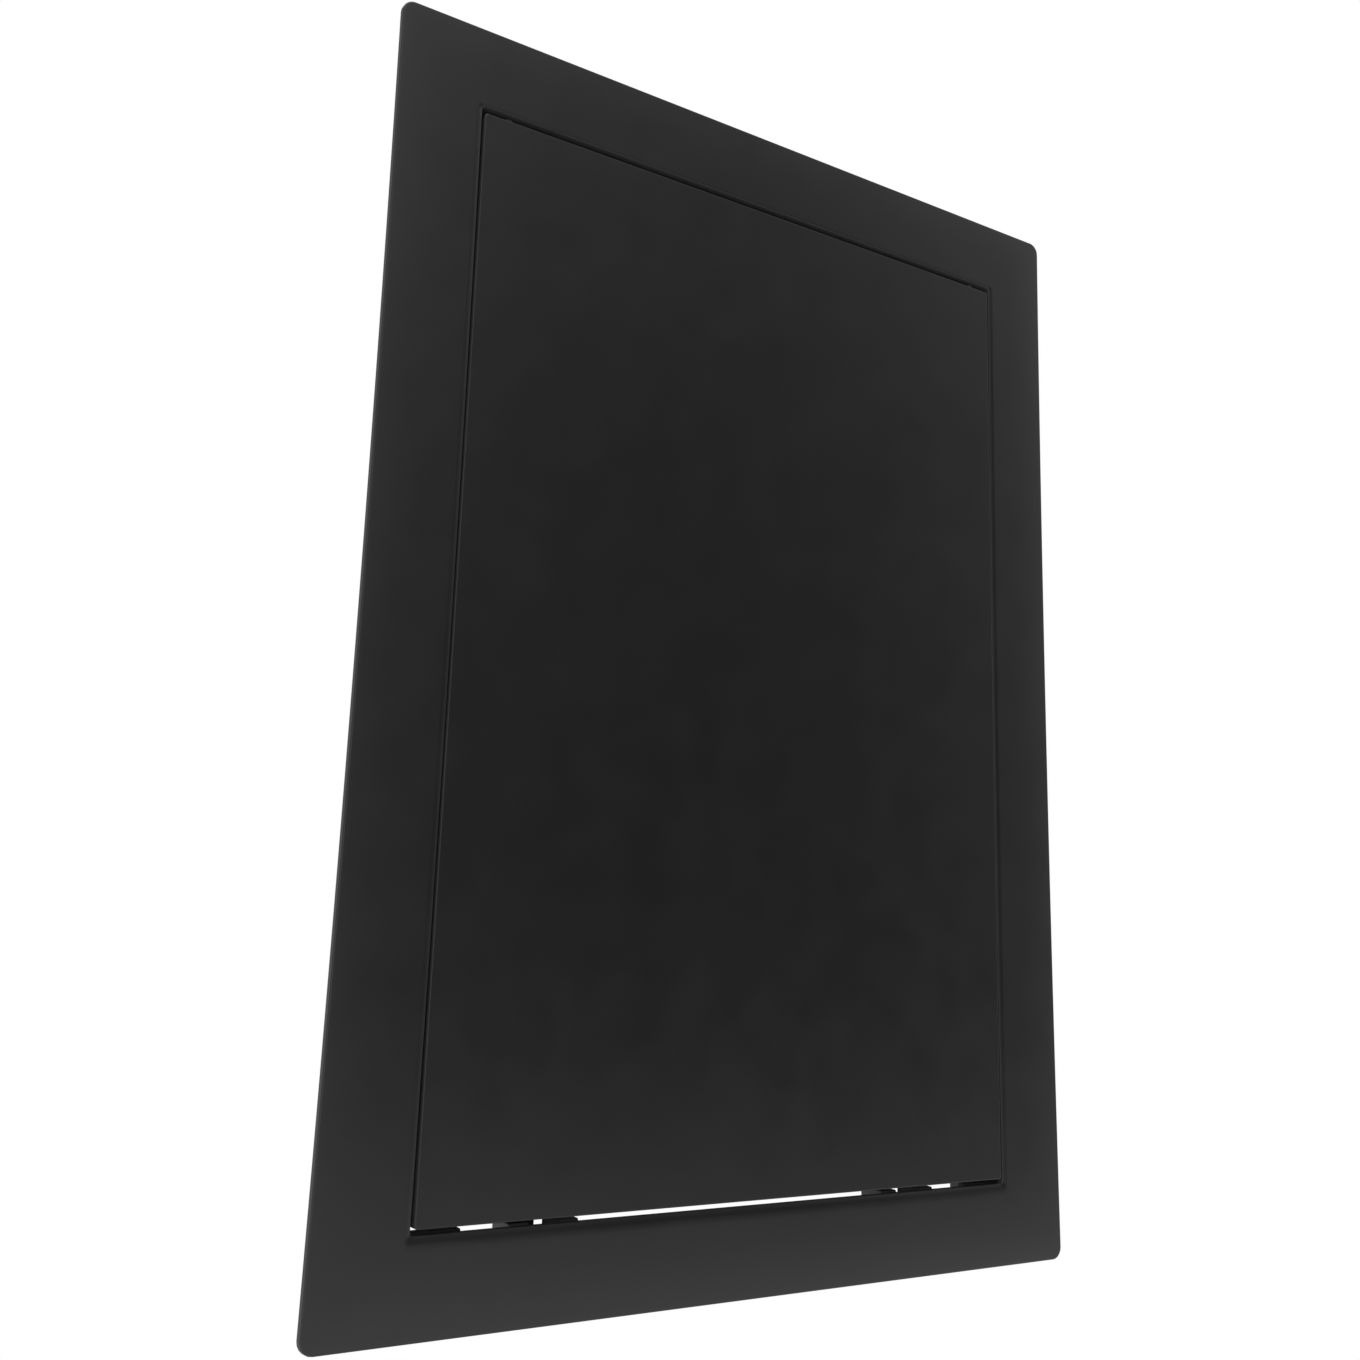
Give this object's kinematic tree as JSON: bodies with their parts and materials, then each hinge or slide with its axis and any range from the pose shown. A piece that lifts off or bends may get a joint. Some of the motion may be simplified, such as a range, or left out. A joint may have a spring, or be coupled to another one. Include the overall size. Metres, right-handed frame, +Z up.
{
  "type": "inspection hatch",
  "caption": "Flush inspection hatch: a bottom-hinged door on gooseneck arms in a flanged wall frame with a deep collar, held shut by spring clips.",
  "frame": {"origin": "centre of the clear opening, in the plane of the wall face that the flange lies against", "axes": "+X to the right as seen from the room, +Y into the wall, +Z up"},
  "size_m": [0.248, 0.0255, 0.348],
  "materials": {
    "frame_plastic": "satin black moulded ABS",
    "door_plastic": "satin black moulded ABS",
    "hinge_plastic": "smooth black moulded acetal",
    "pin_steel": "bright drawn steel",
    "clip_steel": "spring steel strip",
    "screw_steel": "zinc plated steel"
  },
  "bodies": {
    "surround": {"frame": "frame_plastic", "hinge_bracket_left": "hinge_plastic", "hinge_bracket_right": "hinge_plastic", "bracket_screws_left": "screw_steel", "bracket_screws_right": "screw_steel", "hinge_pin_left": "pin_steel", "hinge_pin_right": "pin_steel", "catch_clip_left": "clip_steel", "catch_clip_right": "clip_steel", "clip_screw_left": "screw_steel", "clip_screw_right": "screw_steel"},
    "door": {"door_panel": "door_plastic", "hinge_arm_left": "hinge_plastic", "hinge_arm_right": "hinge_plastic", "arm_screws_left": "screw_steel", "arm_screws_right": "screw_steel", "striker_left": "hinge_plastic", "striker_right": "hinge_plastic", "striker_screws_left": "screw_steel", "striker_screws_right": "screw_steel"}
  },
  "joints": [
    {"name": "door_hinge", "type": "hinge", "parent": "surround", "child": "door", "pos_m": [0, 0.0032, -0.158], "axis": [1, 0, 0], "range_deg": [0, 95], "deforming": ["catch_clip_left", "catch_clip_right"]}
  ]
}
